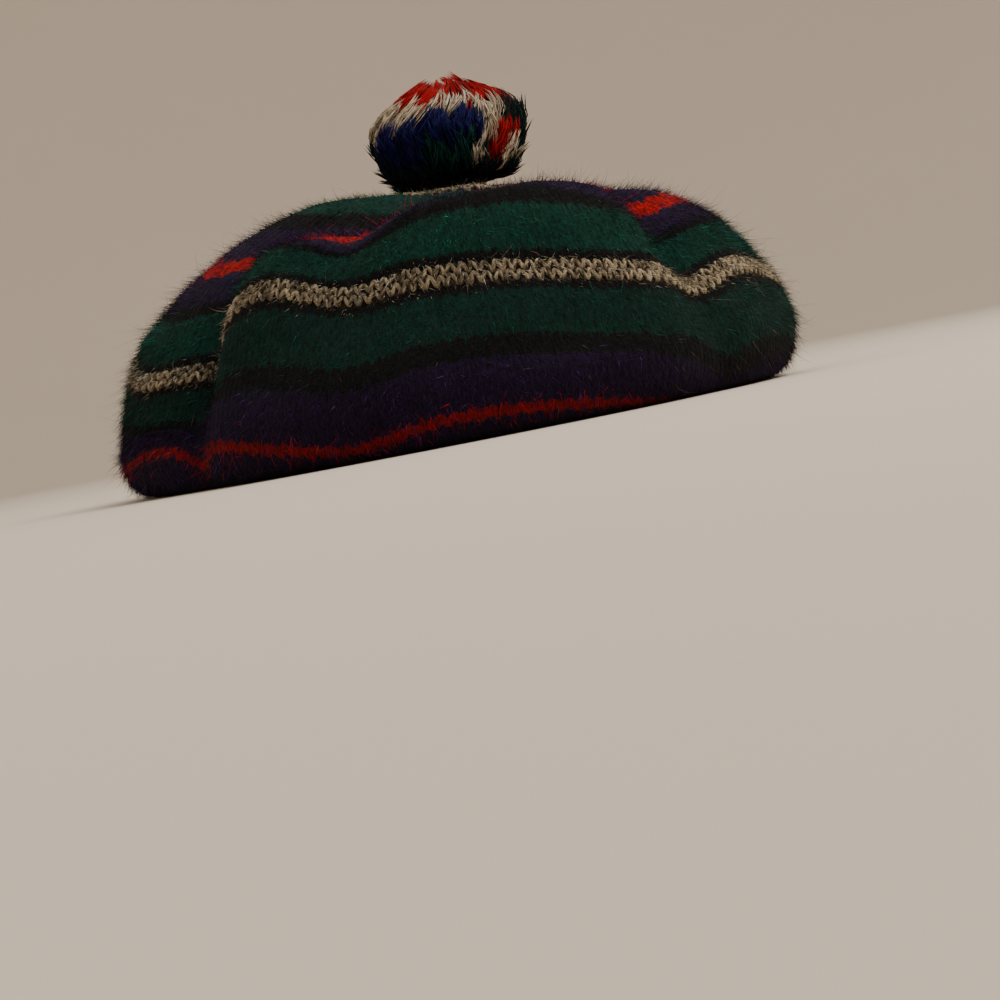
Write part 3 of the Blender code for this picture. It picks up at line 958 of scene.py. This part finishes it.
def strand_paths(azimuth, latitude, span, drift, height, spread, lift):
    """Paths of the fibres of strands that climb the side of the ball and end at these places."""
    part = np.linspace(0.0, 1.0, FIBRE_STEPS)
    to_go = 1.0 - part
    around = azimuth[:, None] + drift[:, None] * to_go**1.5
    up = np.maximum(-80.0, latitude[:, None] - span[:, None] * to_go)
    scale = height[:, None] * (0.82 + 0.18 * np.sin(np.pi / 2 * np.minimum(1.0, 1.5 * part)))
    scale = scale + lift[:, None] * part**3
    middle = outline_point(around.ravel(), up.ravel(), scale.ravel()).reshape(*around.shape, 3)
    apart = chance.normal(size=(len(azimuth), FIBRES, 1, 3)) * spread
    apart = apart * (1.0 - 0.45 * part**2)[:, None]
    loose = chance.normal(size=(len(azimuth), FIBRES, 1, 3)) * 0.0004 * part[:, None] ** 3
    return (middle[:, None] + apart + loose).reshape(-1, FIBRE_STEPS, 3)


order = np.arange(YARN_ENDS) + 0.5
latitude = np.degrees(np.arcsin(1.0 - 1.80 * order / YARN_ENDS)) + chance.normal(0.0, 2.5, YARN_ENDS)
azimuth = GOLDEN_ANGLE * order + chance.normal(0.0, 2.5, YARN_ENDS)
from_left = (azimuth - PHOTO_AZIMUTH + 180.0) % 360.0 - 180.0 - SWEEP_MIDDLE
swept = np.exp(-((from_left / SWEEP_HALF) ** 2)) * np.clip((latitude - 5.0) / 30.0, 0.0, 1.0)
swept *= np.clip((84.0 - latitude) / 20.0, 0.0, 1.0)
span = chance.uniform(26.0, 48.0, YARN_ENDS)
drift = chance.normal(0.0, 9.0, YARN_ENDS) - SWEEP * swept
lift = np.where(chance.uniform(size=YARN_ENDS) < 0.15, chance.uniform(0.04, 0.15, YARN_ENDS), 0.0)
height = chance.normal(1.0, 0.022, YARN_ENDS)
paths = strand_paths(azimuth, latitude, span, drift, height, 0.0008, lift)
dyes = patch_of(outline_point(azimuth, latitude - 7.0))
paths[:, :, 2] = np.maximum(paths[:, :, 2], crown[2] + 0.0006)
radii = np.broadcast_to(FIBRE_RADIUS * np.array([0.9, 1.1, 1.1, 0.9, 0.4]), paths.shape[:2])
made, faces = tubes(paths, radii, 3)
pompom_ends = mesh_object("pompom_yarn_ends", made, faces, spun_yarn)
fibre_dyes = np.repeat(dyes, FIBRES, axis=0) * chance.uniform(0.65, 1.35, (len(paths), 1))
colour_points(pompom_ends, np.repeat(np.minimum(fibre_dyes, 0.9), len(made) // len(paths), axis=0))
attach(pompom_ends, "root")
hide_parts("pompom")
pompom_ends.data.calc_loop_triangles()
print("pompom_yarn_ends:", len(pompom_ends.data.loop_triangles), "triangles")

# %% [markdown]
# Behind the ends the bundle is solid wool. A closed ball with an uneven surface fills it, so that no light
# comes through, and its foot goes down to the tie.

# %% Fill the middle of the pompom
HEART_COLUMNS = 48
HEART_ROWS = 24
HEART_SCALE = 0.86
FOOT_RADIUS = 0.0080

heart_rows = []
for row in range(HEART_ROWS):
    around = 360.0 * np.arange(HEART_COLUMNS) / HEART_COLUMNS
    if row == 0:
        ring = crown + toward(around, FOOT_RADIUS, 0.0004)
    else:
        at = -62.0 + 150.0 * (row - 1) / (HEART_ROWS - 2)
        ring = outline_point(around, np.full(HEART_COLUMNS, at), HEART_SCALE)
        ring = ring + unit(ring - root) * chance.normal(0.0, 0.0005, (HEART_COLUMNS, 1))
    heart_rows.append(ring)
heart_points = np.concatenate(heart_rows)
sides, _, _ = grid_faces(0, HEART_COLUMNS, HEART_ROWS)
rim = np.arange(HEART_COLUMNS)
heart = mesh_object(
    "pompom_heart",
    heart_points,
    [sides[:, ::-1], rim[::-1][None], (rim + HEART_COLUMNS * (HEART_ROWS - 1))[None]],
    spun_yarn,
)
# Painted shade: the heart takes the patches' dyes at 0.35 of their brightness, for the shade deep inside the
# bundle.
colour_points(heart, patch_of(heart_points) * 0.35)
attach(heart, "root")
print("pompom_heart:", len(heart.data.polygons), "faces")

# %% [markdown]
# ## The tie
#
# Cream yarn is wound round the pompom's foot and drawn tight. It is two plies twisted together, so two tubes
# follow the same ring while they turn round each other.

# %% Wind the tie
PLY = 0.00062
PLY_TURNS = 14
TIE_POINTS = 168
TIE_HALF = 0.0011

tie_radius = (tie_high.x - tie_low.x) / 2 - TIE_HALF
around = np.linspace(0.0, 360.0, TIE_POINTS, endpoint=False)
plies = []
for half_turn in (0.0, math.pi):
    twist = np.radians(around) * PLY_TURNS + half_turn
    out = tie_radius + 0.8 * PLY * np.cos(twist)
    height = crown[2] + 0.0003 + TIE_HALF + 0.8 * PLY * np.sin(twist)
    plies.append(toward(around, out, height) + (crown[0], crown[1], 0.0))
plies = np.array(plies)
ply_normals = np.broadcast_to(np.array([0.0, 0.0, 1.0]), plies.shape)
made, faces = tubes(plies, np.full(plies.shape[:2], PLY), 8, ply_normals, closed=True)
tie = mesh_object("twisted_tie", made, faces, spun_yarn)
colour_points(tie, np.array(POMPOM_DYES["cream"]))
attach(tie, "root")
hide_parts("pompom_tie")
print("twisted_tie:", 2 * len(tie.data.polygons), "triangles")

# %% [markdown]
# ## The studio
#
# The hat lies on a plain pale floor that sweeps up into the wall, so no horizon shows. The sweep is one curve,
# flat under the hat and rounded at its foot, turned about the vertical axis.

# %% Sweep the floor up into the wall
FLOOR_RADIUS = 1.7
SWEEP_RADIUS = 0.9
WALL_HEIGHT = 1.5
SWEEP_SIDES = 96

profile = [(0.1, 0.0), (0.4, 0.0), (0.9, 0.0), (FLOOR_RADIUS, 0.0)]
for turned in np.radians(np.linspace(6.0, 90.0, 15)):
    profile.append(
        (FLOOR_RADIUS + SWEEP_RADIUS * math.sin(turned), SWEEP_RADIUS * (1.0 - math.cos(turned)))
    )
profile.append((FLOOR_RADIUS + SWEEP_RADIUS, WALL_HEIGHT))
spots = 360.0 * np.arange(SWEEP_SIDES) / SWEEP_SIDES
sweep_points = np.concatenate([[(0.0, 0.0, 0.0)]] + [toward(spots, radius, height) for radius, height in profile])
sweep_faces, _, _ = grid_faces(1, SWEEP_SIDES, len(profile))
around = np.arange(SWEEP_SIDES)
middle_faces = np.stack([np.zeros(SWEEP_SIDES, int), 1 + around, 1 + (around + 1) % SWEEP_SIDES], axis=1)
studio_paint, tree, shader = new_material("studio_paint", Roughness=0.9, Specular_IOR_Level=0.1)
place = add(tree, "ShaderNodeTexCoord").outputs["Object"]
grain = add(tree, "ShaderNodeTexNoise", {"Vector": place, "Scale": 3.0, "Detail": 2.0})
paint = add(tree, "ShaderNodeValToRGB", {"Fac": grain.outputs["Fac"]})
paint.color_ramp.elements[0].color = (0.70, 0.61, 0.51, 1.0)
paint.color_ramp.elements[1].color = (0.73, 0.64, 0.54, 1.0)
tree.links.new(paint.outputs["Color"], shader.inputs["Base Color"])
studio = mesh_object("studio_sweep", sweep_points, [sweep_faces, middle_faces], studio_paint)
print("floor faces up:", studio.data.polygons[0].normal.z > 0.0, studio.data.polygons[-1].normal.z > 0.0)
print("studio:", len(studio.data.polygons), "faces")

# %% [markdown]
# The light is soft and comes from high on the right, with weaker light from the left and a dim room around.
# Large area lights give it, because the size of a light sets how soft its shadows are.

# %% Hang the lights
LIGHTS = [
    # name, azimuth, elevation, distance, size, power, colour
    ("key", 12.0, 52.0, 1.5, 0.9, 17.0, (1.0, 0.95, 0.88)),
    ("fill", -120.0, 30.0, 1.6, 1.4, 2.0, (1.0, 0.93, 0.85)),
    ("top", 120.0, 75.0, 1.7, 1.2, 6.0, (1.0, 0.96, 0.90)),
]
AIM = np.array([0.0, 0.0, 0.05])


def aimed(location, target):
    """A rotation that turns an object's own -Z from location towards target."""
    return (Vector(target) - Vector(location)).to_track_quat("-Z", "Y")


for name, azimuth, elevation, distance, size, power, colour in LIGHTS:
    angle = math.radians(elevation)
    location = AIM + toward(azimuth, distance * math.cos(angle), distance * math.sin(angle))
    lamp = bpy.data.lights.new(name, "AREA")
    lamp.size = size
    lamp.energy = power
    lamp.color = colour
    hung = bpy.data.objects.new(name, lamp)
    hung.location = location
    hung.rotation_mode = "QUATERNION"
    hung.rotation_quaternion = aimed(location, AIM)
    bpy.context.scene.collection.objects.link(hung)

world = bpy.data.worlds.new("room")
world.use_nodes = True
world.node_tree.nodes["Background"].inputs["Color"].default_value = (1.0, 0.94, 0.86, 1.0)
world.node_tree.nodes["Background"].inputs["Strength"].default_value = 0.55
bpy.context.scene.world = world
print("lights:", len(LIGHTS))

# %% [markdown]
# ## The camera
#
# The camera stands low, at the wearer's front right, and is rolled, so that the hat hangs down to the left in the
# picture. Its lens and shift are worked out from where a known point of the hat has to appear.

# %% Set up the camera
PIXEL = 0.000375
PIXELS = 1000
DISTANCE = 0.95
ELEVATION = -2.0
AIM_PIXEL = (443.0, 305.0)

camera_data = bpy.data.cameras.new("camera")
camera_data.clip_start = 0.004
camera = bpy.data.objects.new("camera", camera_data)
bpy.context.scene.collection.objects.link(camera)
angle = math.radians(ELEVATION)
camera.location = AIM + toward(PHOTO_AZIMUTH, DISTANCE * math.cos(angle), DISTANCE * math.sin(angle))
camera.rotation_mode = "QUATERNION"
roll = Quaternion((0.0, 0.0, 1.0), math.radians(-PHOTO_ROLL))
camera.rotation_quaternion = aimed(camera.location, AIM) @ roll
camera_data.sensor_width = 36.0
camera_data.lens = 36.0 * (DISTANCE / PIXEL) / PIXELS
camera_data.shift_x = -(AIM_PIXEL[0] - PIXELS / 2) / PIXELS
camera_data.shift_y = (AIM_PIXEL[1] - PIXELS / 2) / PIXELS
bpy.context.scene.camera = camera
print("lens: %.1f mm" % camera_data.lens)
